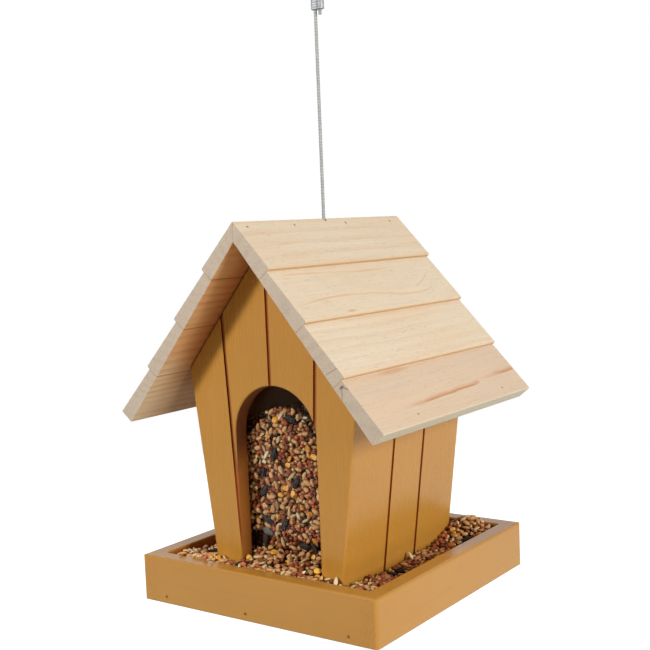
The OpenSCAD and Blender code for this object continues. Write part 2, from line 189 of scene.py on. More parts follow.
def smooth_line(route, step):
    """Points about a step apart on a smooth curve through a route."""
    points = [Vector((x, 0, z)) for x, z in route]
    line = []
    for i in range(len(points) - 1):
        a, b, c, d = (points[max(0, min(len(points) - 1, i + k))] for k in (-1, 0, 1, 2))
        parts = max(1, round((c - b).length / step))
        for t in (k / parts for k in range(parts)):
            line.append(0.5 * (
                2 * b + (c - a) * t + (2 * a - 5 * b + 4 * c - d) * t * t + (3 * b - a - 3 * c + d) * t ** 3
            ))
    line.append(points[-1])
    return line


# Shader building

class Shading:
    """Short calls that add nodes to a node tree."""

    def __init__(self, tree):
        self.tree = tree

    def feed(self, socket, value):
        if isinstance(value, bpy.types.NodeSocket):
            self.tree.links.new(value, socket)
        else:
            socket.default_value = value

    def add(self, kind, inputs, **settings):
        node = self.tree.nodes.new("ShaderNode" + kind)
        for name, value in settings.items():
            setattr(node, name, value)
        for key, value in inputs.items():
            self.feed(node.inputs[key], value)
        return node

    def calc(self, operation, *values):
        return self.add("Math", dict(enumerate(values)), operation=operation).outputs[0]

    def abs(self, value):
        return self.calc("ABSOLUTE", value)

    def plus(self, value, other):
        return self.calc("ADD", value, other)

    def minus(self, value, other):
        return self.calc("SUBTRACT", value, other)

    def times(self, value, *factors):
        for factor in factors:
            value = self.calc("MULTIPLY", value, factor)
        return value

    # Where every mask is 1
    all_of = times

    def linear(self, value, factor, shift):
        return self.calc("MULTIPLY_ADD", value, factor, shift)

    def mm(self, length):
        return self.times(length, 1 / MM)

    def distance(self, *parts):
        """The length of a vector with these parts."""
        total = self.times(parts[0], parts[0])
        for part in parts[1:]:
            total = self.linear(part, part, total)
        return self.calc("SQRT", total)

    def ramp(self, value, low, high):
        """0 below low and 1 above high, smooth between; high may be the smaller one."""
        ends = (low, high, 0.0, 1.0) if low < high else (high, low, 1.0, 0.0)
        inputs = dict(enumerate((value, *ends)))
        return self.add("MapRange", inputs, interpolation_type="SMOOTHSTEP").outputs[0]

    def near(self, value, centre, half, soft):
        """1 within half of the centre, 0 beyond half plus soft."""
        return self.ramp(self.abs(self.minus(value, centre)), half + soft, half)

    def noise(self, vector, scale=1.0, detail=2.0):
        return self.add("TexNoise", {"Vector": vector, "Scale": scale, "Detail": detail}).outputs[0]

    def mix(self, mask, first, second):
        return self.add("Mix", {0: mask, 6: first, 7: second}, data_type="RGBA").outputs[2]

    def oval(self, u, v, centre, half, soft):
        """1 inside an oval of these half sizes, and 0 beyond soft half sizes more."""
        parts = [self.times(self.minus(*pair), 1 / size) for *pair, size in zip((u, v), centre, half)]
        return self.ramp(self.distance(*parts), 1 + soft, 1)

    def stroke(self, u, v, start, end, half, soft):
        """1 along a straight stroke from start to end, and 0 beyond half plus soft."""
        start, end = Vector(start), Vector(end)
        heading = (end - start).normalized()
        shift_u, shift_v = (self.minus(value, at) for value, at in zip((u, v), (start + end) / 2))
        lengthwise = self.linear(shift_u, heading.x, self.times(shift_v, heading.y))
        aside = self.linear(shift_v, heading.x, self.times(shift_u, -heading.y))
        reach = (end - start).length / 2
        return self.all_of(self.near(lengthwise, 0.0, reach, soft), self.near(aside, 0.0, half, soft))

    def curved(self, u, v, places, half, soft):
        """1 along a smooth line through places in u and v. It fades out at both ends."""
        low_u, low_v = (min(axis) - 1.0 for axis in zip(*places))
        high_u, high_v = (max(axis) + 1.0 for axis in zip(*places))
        node = self.tree.nodes.new("ShaderNodeFloatCurve")
        points = node.mapping.curves[0].points
        for k, (at_u, at_v) in enumerate(places):
            share = ((at_u - low_u) / (high_u - low_u), (at_v - low_v) / (high_v - low_v))
            if k < 2:
                points[k].location = share
            else:
                points.new(*share)
        node.mapping.update()
        self.feed(node.inputs["Value"], self.times(self.minus(u, low_u), 1 / (high_u - low_u)))
        line = self.linear(node.outputs[0], high_v - low_v, low_v)
        fade = 0.2 * (high_u - low_u)
        ends = self.all_of(self.ramp(u, low_u, low_u + fade), self.ramp(u, high_u, high_u - fade))
        return self.all_of(self.near(self.minus(v, line), 0.0, half, soft), ends)

    def seen_ray(self):
        """1 for camera, glossy and transmission rays."""
        path = self.add("LightPath", {}).outputs
        direct = self.calc("MAXIMUM", path["Is Camera Ray"], path["Is Glossy Ray"])
        return self.calc("MAXIMUM", direct, path["Is Transmission Ray"])


class Surface(Shading):
    """A material whose tone is painted step by step over a first colour."""

    def __init__(self, name, specular, tone):
        self.material = bpy.data.materials.new(name)
        self.material.use_nodes = True
        super().__init__(self.material.node_tree)
        self.shader = self.tree.nodes["Principled BSDF"]
        self.tone = tone
        coordinates = self.add("TexCoord", {}).outputs
        self.place, self.facing = coordinates["Object"], coordinates["Normal"]
        self.x, self.y, self.z = self.add("SeparateXYZ", {0: self.place}).outputs[:3]
        self.put({"Specular IOR Level": specular})

    def put(self, inputs):
        for name, value in inputs.items():
            self.feed(self.shader.inputs[name], value)

    def dot(self, axis, vector):
        return self.add("VectorMath", {0: vector, 1: axis}, operation="DOT_PRODUCT").outputs["Value"]

    def faces(self, axis):
        """How squarely the surface faces along a direction."""
        return self.dot(axis, self.facing)

    def paint(self, mask, tint, share=None):
        """Covers the tone with a tint, or a share of it, where the mask is 1."""
        self.tone = self.mix(mask if share is None else self.times(mask, share), self.tone, tint)

    def tint(self, mask, tint):
        """Multiplies the tone by a colour where the mask is 1."""
        factor = tint if isinstance(tint, bpy.types.NodeSocket) else tint[:3]
        self.paint(mask, self.add("VectorMath", {0: self.tone, 1: factor}, operation="MULTIPLY").outputs[0])

    def scale(self, value, factor, shift):
        """Scales the tone by a value times a factor, plus a shift."""
        by = self.linear(value, factor, shift)
        self.tone = self.add("VectorMath", {0: self.tone, "Scale": by}, operation="SCALE").outputs[0]

    def finished(self, roughness, height=None, distance=0.0, strength=0.0):
        """The material, with its tone and roughness, and with bumps if it has a height."""
        self.put({"Base Color": self.tone, "Roughness": roughness})
        if height is not None:
            bump = self.add("Bump", {"Height": height, "Distance": distance, "Strength": strength})
            self.put({"Normal": bump.outputs[0]})
        return self.material


# Wood

class Board:
    """Coordinates along a board's grain, across it and through it, and noise that follows them."""

    def __init__(self, surface, grain, across, start, seed):
        self.surface, self.seed = surface, seed
        through = tuple(Vector(grain).cross(Vector(across)))
        self.along, self.across, self.through = (
            surface.plus(surface.dot(axis, surface.place), -Vector(axis).dot(Vector(start)))
            for axis in (grain, across, through)
        )

    def noise(self, along_scale, cross_scale, detail=2.0, shift=0.0):
        """Noise with a number of features a metre along the grain and another across it."""
        s = self.surface
        place = s.add("CombineXYZ", {
            0: s.linear(self.along, along_scale, self.seed + shift),
            1: s.times(self.across, cross_scale), 2: s.times(self.through, cross_scale),
        })
        return s.noise(place.outputs[0], detail=detail)

    def rings(self, pith_across, pith_through, spacing, wander, swirl_at=0.0, swirl=0.0):
        """Growth rings round a pith: 0 in early wood, 1 in late wood. A swirl closes them into ovals."""
        s = self.surface
        drift = s.times(s.minus(self.noise(5, 11, shift=3.1), 0.5), wander)
        fine = s.times(s.minus(self.noise(22, 90, shift=7.7), 0.5), 0.2 * wander)
        side = s.plus(s.minus(self.across, pith_across), drift)
        depth = s.minus(self.through, pith_through)
        length = s.times(s.minus(self.along, swirl_at), swirl)
        radius = s.plus(s.distance(side, depth, length), fine)
        phase = s.calc("FRACT", s.calc("DIVIDE", radius, spacing))
        return s.all_of(s.ramp(phase, 0.3, 0.88), s.ramp(phase, 1.0, 0.92))


STAIN = colour(182, 130, 53)
STAIN_DEEP = colour(174, 120, 45)
STAIN_LINE = colour(161, 105, 42)
GROOVE = colour(156, 84, 33)
END_ARC = colour(176, 106, 36)
RAIL_INSIDE_SHADE = colour(236, 196, 176)
ARCH_SHADE_LOW = colour(240, 214, 204)
ARCH_SHADE_HIGH = colour(168, 138, 146)
ROOF_GAP_SHADE = colour(84, 50, 26)


def gable_groove_mask(s):
    """The three dark grooves of either gable."""
    x_mm = s.mm(s.abs(s.x))
    line = s.linear(s.minus(s.mm(s.z), FLOOR_TOP_MM), tan(GABLE_GROOVE_LEAN), GABLE_GROOVE_X_MM)
    outer, middle = (s.near(at, 0.0, *GROOVE_WIDTH_MM) for at in (s.minus(x_mm, line), x_mm))
    sunk_mm = s.minus(GABLE_Y_MM, s.mm(s.abs(s.y)))
    return s.all_of(s.calc("MAXIMUM", outer, middle), s.near(sunk_mm, *GROOVE_DEPTH_MM))


def side_groove_mask(s):
    """The two dark grooves of either side."""
    foot_mm = FOOT_HALF_MM * cos(LEAN) - FLOOR_TOP_MM * sin(LEAN)
    out = s.minus(s.times(s.abs(s.x), cos(LEAN)), s.times(s.z, sin(LEAN)))
    lines = s.near(s.mm(s.abs(s.y)), SIDE_GROOVE_Y_MM, *GROOVE_WIDTH_MM)
    return s.all_of(lines, s.near(s.minus(foot_mm, s.mm(out)), *GROOVE_DEPTH_MM))


def paint_arch_and_gap_shade(s):
    """Paints shade inside a gable's arch, most of all above, and a dark line of painted shade under the roof.
    """
    face_on = s.abs(s.faces((0, 1, 0)))
    inside = s.all_of(s.ramp(s.faces(s.place), -0.01, -0.02), s.ramp(face_on, 0.5, 0.2))
    # Painted shade inside the arch, darker towards its top
    s.tint(inside, s.mix(s.ramp(s.z, 0.092, 0.118), ARCH_SHADE_LOW, ARCH_SHADE_HIGH))
    toward_roof = s.plus(s.times(s.abs(s.x), sin(SLOPE)), s.times(s.z, cos(SLOPE)))
    below_mm = s.minus(ROOF_Z_MM * cos(SLOPE), s.mm(toward_roof))
    # Painted shade in the gap under the roof: a dark line along the gable's sloping top
    s.paint(s.all_of(s.ramp(below_mm, 1.6, 0.8), s.ramp(face_on, 0.5, 0.8)), ROOF_GAP_SHADE, 0.85)


def stained_wood(name, grain, across, seed, groove_mask=None, pith=None):
    """Ochre stain under a satin varnish, with the grain showing faintly through it.

    The walls of the house have grooves and a dull inside. A pith, given across the board and through it,
    draws faint arcs on the end grain.
    """
    s = Surface(name, 0.28, STAIN)
    board = Board(s, grain, across, (0, 0, 0), seed)
    fibre = board.noise(12, 420, detail=3, shift=1.0)
    s.paint(board.noise(4, 60, shift=2.0), STAIN_DEEP, 0.6)
    s.paint(s.ramp(fibre, 0.52, 0.75), STAIN_LINE, 0.15)
    s.scale(s.noise(s.place, 14, 1), 0.08, 0.96)
    if groove_mask:
        # Painted light: the walls are up to a fifth lighter towards their foot
        s.scale(s.ramp(s.z, 0.062, 0.020), 0.20, 1.0)
        s.paint(groove_mask(s), GROOVE)
        inside = s.ramp(s.faces(s.place), -0.02, -0.04)
        roughness = s.linear(inside, 0.6, s.linear(fibre, 0.12, 0.22))
    else:
        # Painted shade: inward faces of the tray's boards take a darker, redder tint
        s.tint(s.ramp(s.faces(s.place), -0.05, -0.08), RAIL_INSIDE_SHADE)
        roughness = s.linear(fibre, 0.12, 0.17)
    if groove_mask is gable_groove_mask:
        paint_arch_and_gap_shade(s)
    if pith:
        end = s.ramp(s.abs(s.faces(grain)), 0.7, 0.95)
        patchy = s.ramp(s.noise(s.place, 130, 2), 0.40, 0.62)
        s.paint(s.all_of(end, board.rings(*pith, 0.0032, 0.0012), patchy), END_ARC, 0.5)
    return s.finished(roughness, fibre, 0.00010, 0.4)


PINE_PALE = colour(221, 203, 176)
PINE_WARM = colour(218, 187, 153)
PINE_LINE = colour(208, 172, 134)
PINE_PORE = colour(172, 146, 122)
PINE_ROSE = colour(208, 184, 158)
PINE_END = colour(185, 172, 148)
PINE_END_ROSE = colour(187, 164, 147)
PINE_END_LINE = colour(156, 139, 118)
PINE_EDGE_AND_SHADE = colour(206, 174, 134)
PINE_STEP_AND_SHADE = colour(208, 174, 132)
EAVE_EDGE = colour(196, 186, 160)
LATE_WOOD = colour(212, 172, 130)
# Painted shade on the roof boards' undersides: faint low down, warm higher up and darker by the gable
UNDERSIDE_SHADE_LOW = colour(255, 252, 236)
UNDERSIDE_SHADE_HIGH = colour(255, 218, 172)
UNDERSIDE_SHADE_BY_GABLE = colour(212, 176, 140)
UNDER_LINE = colour(232, 214, 190)
JOINT = colour(180, 160, 136)
STREAK = colour(186, 124, 78)
NAIL_MARK = colour(140, 118, 96)
KNOT = colour(104, 84, 70)

# Each roof board: the place of its pith across and below it, its ring spacing and wander, how strongly the
# rings and the warm clouds show, how much its lower edge takes the edge tones with their painted shade,
# how rosy it is, and a swirl's place and size
ROOF_BOARDS = {
    "roof_right_1": (-0.090, -0.010, 0.0105, 0.010, 0.40, 0.55, 0.9, 0.0),
    "roof_right_2": (0.031, -0.010, 0.0118, 0.008, 0.10, 0.35, 0.8, 0.0, 0.020, 0.50),
    "roof_right_3": (0.190, -0.020, 0.0075, 0.012, 0.26, 0.5, 0.8, 0.0),
    "roof_right_4": (0.230, -0.060, 0.0130, 0.016, 0.24, 0.5, 0.7, 1.0),
    "roof_left_1": (-0.080, -0.030, 0.0070, 0.012, 0.4, 0.6, 0.7, 0.0),
    "roof_left_2": (0.120, -0.020, 0.0060, 0.012, 0.45, 0.5, 0.7, 0.0),
    "roof_left_3": (0.150, -0.015, 0.0080, 0.014, 0.45, 0.9, 0.6, 0.0),
    "roof_left_4": (0.210, -0.030, 0.0052, 0.010, 0.4, 0.4, 0.7, 0.0),
}

# Marks on the right slope, as places along the ridge (y) and down the slope
LATE_WOOD_MM = [
    [(-109, 64.7), (-90.6, 61.8), (-45, 58.8), (-15.6, 59.9), (50.4, 64.8), (79, 55.2), (93.8, 46.3)],
    [(-100, 36), (-49, 37.4), (4.3, 39.6), (40.5, 34.6)],
    [(49, 59.4), (72.5, 51.6), (80.4, 47.3)],
]
SMALL_KNOT_MM = (-47.2, 72.4)
EAVE_NAILS_MM = [(-54.1, 156.6), (64.2, 156.4)]
STREAKS_MM = [((-64.0, 151.0), (40.0, 147.3)), ((43.0, 146.2), (103.0, 143.7))]
WARM_PATCH_MM = (-46.0, 121.8)
# Marks on the front end grain of the right slope, as places down the slope and out from its underside
KNOT_MM = (123.0, 5.4)
KNOT_LINES_MM = [((123.2, 6.0), (128.3, 9.6)), ((124.2, 4.4), (129.0, 0.6))]
CRACK_MM = ((110.0, 1.2), (111.9, 11.0))


def streak(s, board, start_mm, end_mm):
    """A resin streak, sharp on its lower side, that fades in from its front end."""
    (front_y, front_down), (back_y, back_down) = start_mm, end_mm
    fall = (back_down - front_down) / (back_y - front_y)
    wobble = s.times(s.minus(board.noise(28, 2, shift=5.0), 0.5), 0.0035)
    line = s.linear(board.along, fall, (front_down - fall * front_y) * MM)
    away = s.minus(s.minus(board.across, line), wobble)
    return s.all_of(
        s.ramp(away, 0.0008, 0.0002), s.ramp(away, -0.0040, -0.0002),
        s.ramp(board.along, (front_y - 4) * MM, (front_y + 40) * MM),
        s.ramp(board.along, (back_y + 3) * MM, back_y * MM)
    )


def front_end(s, board):
    """A mask of the front end grain, and places on it: down the slope and out from below."""
    return s.ramp(s.faces((0, -1, 0)), 0.6, 0.8), s.mm(board.across), s.times(board.through, -1 / MM)


def eave_board_marks(s, board):
    """The resin streaks, the two nail marks and the knot of the right eave board."""
    front, down_mm, out_mm = front_end(s, board)
    y_mm = s.mm(board.along)
    hair = s.ramp(board.noise(22, 1500, shift=6.0), 0.30, 0.62)
    strength = s.linear(hair, 0.7, 0.25)
    for ends_mm in STREAKS_MM:
        s.paint(s.all_of(streak(s, board, *ends_mm), strength), STREAK)
    for place in EAVE_NAILS_MM:
        s.paint(s.oval(y_mm, down_mm, place, (0.7, 0.5), 1.3), NAIL_MARK, 0.8)
    s.paint(s.oval(y_mm, down_mm, WARM_PATCH_MM, (5, 0.6), 4.0), STREAK, 0.45)
    for ends_mm in KNOT_LINES_MM:
        s.paint(s.all_of(front, s.stroke(down_mm, out_mm, *ends_mm, 0.15, 0.7)), KNOT, 0.5)
    s.paint(s.all_of(front, s.oval(down_mm, out_mm, KNOT_MM, (0.7, 1.3), 0.7)), KNOT, 0.9)


def second_board_marks(s, board):
    """Late wood lines that curl towards the back end, and a small knot by the lower edge."""
    y_mm, down_mm = s.mm(board.along), s.mm(board.across)
    wavy = s.linear(s.minus(board.noise(60, 12, shift=8.0), 0.5), 1.6, down_mm)
    strength = s.plus(board.noise(30, 40, shift=6.0), 0.1)
    for places in LATE_WOOD_MM:
        s.paint(s.all_of(s.curved(y_mm, wavy, places, 0.25, 0.9), strength), LATE_WOOD)
    s.paint(s.oval(y_mm, down_mm, SMALL_KNOT_MM, (2.4, 0.5), 2.0), STREAK, 0.45)


def third_board_marks(s, board):
    """A fine crack across the front end grain."""
    front, down_mm, out_mm = front_end(s, board)
    s.paint(s.all_of(front, s.stroke(down_mm, out_mm, *CRACK_MM, 0.1, 0.6)), KNOT, 0.45)


MARKS = {
    "roof_right_2": second_board_marks, "roof_right_3": third_board_marks, "roof_right_4": eave_board_marks
}


def joint_lines(s, board, number, facing_out):
    """The dark joints with the boards beside: fine on the underside, faint on the end grain."""
    upper, lower = (s.near(s.mm(board.across), ROOF_JOINTS_MM[number + k], 0.1, 0.7) for k in (0, 1))
    if number == 0:
        upper = s.near(s.mm(s.x), 0.0, 0.1, 0.4)
    if number == EAVE_BOARD:
        lower = 0.0
    strength = s.linear(s.ramp(facing_out, -0.1, -0.5), 0.45, 0.35)
    return s.all_of(s.calc("MAXIMUM", upper, lower), s.ramp(facing_out, 0.5, 0.2), strength)


def pine(node, seed):
    """The bare pine of a roof board."""
    s = Surface("pine_" + node, 0.35, PINE_END)
    side = 1 if "right" in node else -1
    number = int(node[-1]) - 1
    pith_across, pith_below, spacing, wander, ring, warm, ochre, rose, *swirl = ROOF_BOARDS[node]
    down = (side * cos(SLOPE), 0, -sin(SLOPE))
    board = Board(s, (0, 1, 0), down, (0, 0, ROOF_Z_MM * MM), seed)
    # Grain x down points into the roof on the right and out of it on the left
    rings = board.rings(pith_across, -side * pith_below, spacing, wander, *swirl)
    fibre = board.noise(26, 950, detail=3, shift=1.0)
    band = s.all_of(rings, s.ramp(board.noise(9, 50, shift=4.0), 0.3, 0.7))
    s.paint(s.ramp(s.noise(s.place, 420, 2), 0.4, 0.6), PINE_END_ROSE)
    s.paint(band, PINE_END_LINE, 0.28)
    s.scale(s.noise(s.place, 1400, 3), 0.46, 0.77)
    end, s.tone = s.tone, PINE_PALE
    s.paint(rose, PINE_ROSE)
    s.paint(s.ramp(board.noise(7, 40, shift=9.0), 0.3, 0.75), PINE_WARM, warm)
    s.paint(band, PINE_LINE, ring)
    s.paint(s.ramp(board.noise(150, 1400, detail=1, shift=2.0), 0.62, 0.74), PINE_PORE, 0.40)
    s.scale(fibre, 0.20, 0.90)
    facing_down = s.faces(down)
    # Faces that look down the slope take the edge tones: the sawn edges' own colour with painted shade
    edge, step = (EAVE_EDGE, EAVE_EDGE) if number == EAVE_BOARD else (PINE_EDGE_AND_SHADE, PINE_STEP_AND_SHADE)
    s.paint(s.ramp(facing_down, 0.35, 0.6), edge, ochre)
    s.paint(s.ramp(facing_down, 0.8, 0.95), step, ochre)
    facing_out = s.faces((side * sin(SLOPE), 0, cos(SLOPE)))
    underside = s.ramp(facing_out, -0.5, -0.8)
    # Painted shade on the underside: warmer higher up the slope, darker by the gable, less so at the eave
    s.tint(underside, s.mix(s.ramp(s.z, 0.150, 0.195), UNDERSIDE_SHADE_LOW, UNDERSIDE_SHADE_HIGH))
    gable_shade = s.ramp(s.abs(s.y), (GABLE_Y_MM + 26) * MM, GABLE_Y_MM * MM)
    above = s.linear(s.ramp(s.z, 0.145, 0.165), 0.6, 0.4)
    s.tint(s.all_of(underside, gable_shade, above), UNDERSIDE_SHADE_BY_GABLE)
    s.tint(s.all_of(underside, band, 0.45), UNDER_LINE)
    s.paint(s.ramp(s.abs(s.faces((0, 1, 0))), 0.6, 0.8), end)
    s.tint(joint_lines(s, board, number, facing_out), JOINT)
    if node in MARKS:
        MARKS[node](s, board)
    raised = s.minus(fibre, s.times(rings, 0.3))
    return s.finished(s.linear(fibre, 0.15, 0.55), raised, 0.00015, 0.7)


def dowel_wood():
    """Plain dowel, hardly seen."""
    s = Surface("dowel_pine", 0.35, PINE_PALE)
    fibre = Board(s, (0, 1, 0), (1, 0, 0), (0, 0, 0), 31.0).noise(14, 800, detail=3)
    s.paint(fibre, PINE_LINE)
    return s.finished(s.linear(fibre, 0.15, 0.55), fibre, 0.0001, 0.6)


# Metal and the clear pane

# How much of a pane's mirroring shows, from 0 to 1
PANE_GLOSS = 0.03


def metal(name, tint, dark, roughness, scratch_scale):
    """Metal with slight stains and fine scratches."""
    s = Surface(name, 0.5, colour(*tint))
    s.put({"Metallic": 1.0})
    scratch = s.noise(s.place, scratch_scale)
    s.paint(s.noise(s.place, 260, 3), colour(*dark), 0.7)
    return s.finished(s.linear(scratch, 0.2, roughness), scratch, 0.00004, 0.5)


def stained_head(name, tint, dark):
    """A brad's head under the finish of the wood around it."""
    s = Surface(name, 0.3, colour(*tint))
    s.paint(s.ramp(s.noise(s.place, 900), 0.35, 0.65), colour(*dark))
    return s.finished(0.6)


def clear_pane():
    """Clear acrylic that hardly mirrors. Light for the seed passes straight through it."""
    s = Surface("clear_acrylic", 0.5, WHITE)
    smudge = s.ramp(s.noise(s.place, 40, 3), 0.5, 0.8)
    path = s.add("LightPath", {}).outputs
    passing = s.calc("MAXIMUM", path["Is Shadow Ray"], path["Is Diffuse Ray"])
    alpha = s.linear(passing, -PANE_GLOSS, PANE_GLOSS)
    s.put({"IOR": 1.49, "Transmission Weight": 1.0, "Alpha": alpha})
    return s.finished(s.linear(smudge, 0.02, 0.005))


# Cable and its double sleeve

def strand_outline():
    """Radii round the cable, as shares of its own, over the outline of its outer strands."""
    centre, radius = 2 / 3, 1 / 3
    shares = []
    for k in range(STRANDS * SIDES_A_STRAND):
        turn = (k % SIDES_A_STRAND / SIDES_A_STRAND - 0.5) * 2 * pi / STRANDS
        reach = max(0.0, radius ** 2 - (centre * sin(turn)) ** 2)
        shares.append(max(STRAND_GROOVE, centre * cos(turn) + sqrt(reach)))
    return shares


def make_cable(material):
    """The laid cable as one closed tube."""
    line = smooth_line(CABLE_ROUTE, CABLE_STEP)
    outline = strand_outline()
    side = Vector((0, 1, 0))
    points, walked = [], 0.0
    for i, centre in enumerate(line):
        if i:
            walked += (centre - line[i - 1]).length
        heading = (line[min(len(line) - 1, i + 1)] - line[max(0, i - 1)]).normalized()
        across = side.cross(heading)
        for k, share in enumerate(outline):
            turn = 2 * pi * (k / len(outline) + walked / STRAND_LAY)
            offset = across * cos(turn) + side * sin(turn)
            points.append(centre + offset * (share * CABLE_D / 2))
    faces = tube_faces(len(line), len(outline))
    return new_piece("cable", points, faces, material, ["hanging_cable"]), line, walked


def make_sleeve(material):
    """The double sleeve, pressed flat at its waist and rounded at both ends."""
    low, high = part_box("loop_ferrule")
    half_w, half_d = (high.x - low.x) / 2, (high.y - low.y) / 2
    middle_x, length = (low.x + high.x) / 2, high.z - low.z
    sides, rings = 40, 33
    points = []
    for i in range(rings):
        t = i / (rings - 1)
        end = min(t, 1 - t) * length
        rounding = sqrt(max(0.0, 1 - (1 - min(1.0, end / 0.0008)) ** 2))
        waist = sum(exp(-((t - at) / 0.085) ** 2) for at in SLEEVE_PRESSES)
        inset = 0.0007 * (1 - rounding)
        for k in range(sides):
            turn = 2 * pi * k / sides
            x = (half_w - half_d) * max(-1.0, min(1.0, 2.2 * cos(turn))) + half_d * cos(turn)
            y = half_d * sin(turn)
            pinch = 1 - 0.30 * exp(-((x / (0.42 * half_w)) ** 2)) - 0.14 * waist
            x *= (half_w - inset) / half_w
            y *= pinch * (half_d - inset) / half_d
            points.append((middle_x + x, y, low.z + t * length))
    return new_piece(
        "double_sleeve", points, tube_faces(rings, sides), material, ["loop_ferrule"]
    )


# Seed. Lengths are millimetres until a heap becomes meshes.

# Each kind: length, width and thickness, rings and sides of its mesh, and its main, deep and light colours
SEED_KINDS = {
    "wheat": ((5.9, 3.4, 2.9), (6, 8), (202, 150, 96), (166, 110, 64), (224, 184, 132)),
    "milo": ((4.2, 3.8, 3.4), (5, 8), (142, 70, 36), (104, 58, 34), (188, 102, 58)),
    "millet": ((3.0, 2.8, 2.4), (4, 6), (202, 162, 100), (184, 88, 46), (220, 188, 130)),
    "maize": ((5.4, 4.6, 3.6), (6, 9), (226, 158, 40), (202, 128, 40), (240, 192, 80)),
    "sunflower": ((9.4, 4.8, 3.3), (7, 8), (46, 40, 34), (30, 26, 22), (98, 92, 84)),
    "husk": ((7.0, 2.7, 1.9), (6, 7), (200, 170, 118), (158, 128, 88), (230, 214, 174)),
}
MAIZE_FACETS = [(0.8, 0.5, 0.3), (-0.6, 0.7, -0.4), (0.2, -0.9, 0.4), (-0.5, -0.3, 0.8), (0.3, 0.1, -0.95)]
# The share of each kind, in the same order: in the tray, behind the panes and in the tray right of the house
TRAY_SHARES = (0.44, 0.26, 0.11, 0.05, 0.05, 0.09)
HOUSE_SHARES = (0.36, 0.25, 0.28, 0.04, 0.015, 0.055)
CHANNEL_SHARES = (0.22, 0.52, 0.13, 0.04, 0.04, 0.05)
# How pale the grains are, from 0 to 1: in most of the tray, and elsewhere.
# The tray's grains are drawn paler than the rest, as painted light on the open tray
TRAY_SHADES = (0.35, 1.0)
SHADES = (0.0, 0.88)
# Grains that catch the eye in the photograph: kind, pixel of its middle, slant on the picture, shade
PANE_GRAINS_PX = [
    ("sunflower", 262.1, 491.2, 50, 0.3), ("sunflower", 294.8, 482.7, 69, 0.2),
    ("sunflower", 266.3, 520.3, 150, 0.1), ("sunflower", 266.3, 531.8, 160, 1.0),
    ("sunflower", 262.7, 540.3, 85, 0.85), ("sunflower", 283.3, 525.8, 60, 0.2),
    ("sunflower", 302.7, 547.0, 175, 0.2), ("maize", 284.5, 489.4, 20, 0.6),
    ("maize", 291.8, 494.8, 90, 0.5), ("maize", 287.8, 523.3, 70, 0.1), ("maize", 312.0, 458.0, 0, 0.8),
    ("husk", 290.0, 476.7, 55, 0.7), ("husk", 305.7, 472.4, 175, 0.2), ("wheat", 305.7, 483.3, 155, 0.5),
    ("wheat", 263.9, 526.4, 150, 0.7), ("wheat", 270.5, 497.5, 10, 0.6), ("husk", 264.3, 454.8, 82, 1.0),
    ("husk", 262.3, 462.4, 178, 0.95), ("sunflower", 272.0, 454.5, 65, 0.2),
    ("husk", 278.5, 415.5, 75, 0.8), ("sunflower", 288.5, 419.5, 150, 0.1), ("millet", 295.0, 437.5, 0, 0.0),
]
TRAY_GRAINS_PX = [
    ("maize", 275.6, 551.2, 10, 0.7), ("wheat", 258.0, 555.5, 0, 0.9), ("wheat", 257.4, 562.1, 15, 1.0),
    ("wheat", 281.7, 557.3, 80, 0.6), ("sunflower", 242.9, 562.7, 0, 0.2),
    ("sunflower", 209.5, 550.0, 40, 0.1), ("maize", 210.8, 554.8, 20, 0.0), ("maize", 320.5, 573.5, 45, 1.0),
    ("husk", 300.8, 573.7, 10, 1.0), ("milo", 333.7, 580.5, 0, 0.1), ("husk", 339.8, 581.3, 80, 0.9),
    ("husk", 406.0, 554.5, 120, 1.0), ("sunflower", 400.2, 569.8, 0, 0.1), ("maize", 452.0, 544.0, 0, 0.1),
]
# Voids beside the front pane's foot: across and up on the pane, and half sizes
PANE_VOIDS_MM = [((-32.5, 42.5), (5.5, 6.0)), ((24.5, 44.0), (2.6, 3.0))]
# The top of the seed behind the front pane: its middle and height, and the height in the rest of the house
MOUND_X_MM = -3.0
MOUND_TOP_MM = 140.6
HOUSE_FILL_MM = 127.0
# Chosen grains are larger than the common ones of their kind, and husks among them stand up a little
CHOSEN_SIZE = 1.18
SEARCH_MM = 6
HUSK_TIP = radians(-35)
BLOCKED_MM = 1000.0
GRID_MM = 0.5
BED_CELL_MM = 2.0


def seed_form(kind):
    """A grain of unit half size: points on rings along its length, and faces."""
    rings, sides = SEED_KINDS[kind][1]
    around = [(cos(turn), sin(turn)) for turn in (2 * pi * k / sides for k in range(sides))]
    points = [(-1.0, 0.0, 0.0)]
    for lengthwise in (pi * i / rings for i in range(1, rings)):
        radius = sin(lengthwise)
        points += [(-cos(lengthwise), radius * y, radius * z) for y, z in around]
    points = np.array(points + [(1.0, 0.0, 0.0)])
    steps = [(k, (k + 1) % sides) for k in range(sides)]
    faces = [(0, 1 + n, 1 + k) for k, n in steps]
    for a in range(1, 1 + (rings - 2) * sides, sides):
        faces += [(a + k, a + n, a + sides + n, a + sides + k) for k, n in steps]
    top = 1 + (rings - 2) * sides
    faces += [(top + k, top + n, len(points) - 1) for k, n in steps]
    x = points[:, 0:1]
    if kind == "sunflower":
        points[:, 1:] *= 0.62 + 0.38 * np.cos(1.2 * (x + 0.35))
    if kind == "husk":
        points[:, 1:] *= 1 - 0.35 * x ** 2
    if kind == "wheat":
        crease = np.exp(-(points[:, 1] / 0.3) ** 2) * (points[:, 2] > 0)
        points[:, 2] *= 1 - 0.38 * crease
        points[:, 1:] *= 1 - 0.10 * x
    if kind == "maize":
        for facet in MAIZE_FACETS:
            normal = np.array(facet) / np.linalg.norm(facet)
            points -= np.outer(np.maximum(0, points @ normal - 0.62), normal)
    return points, faces


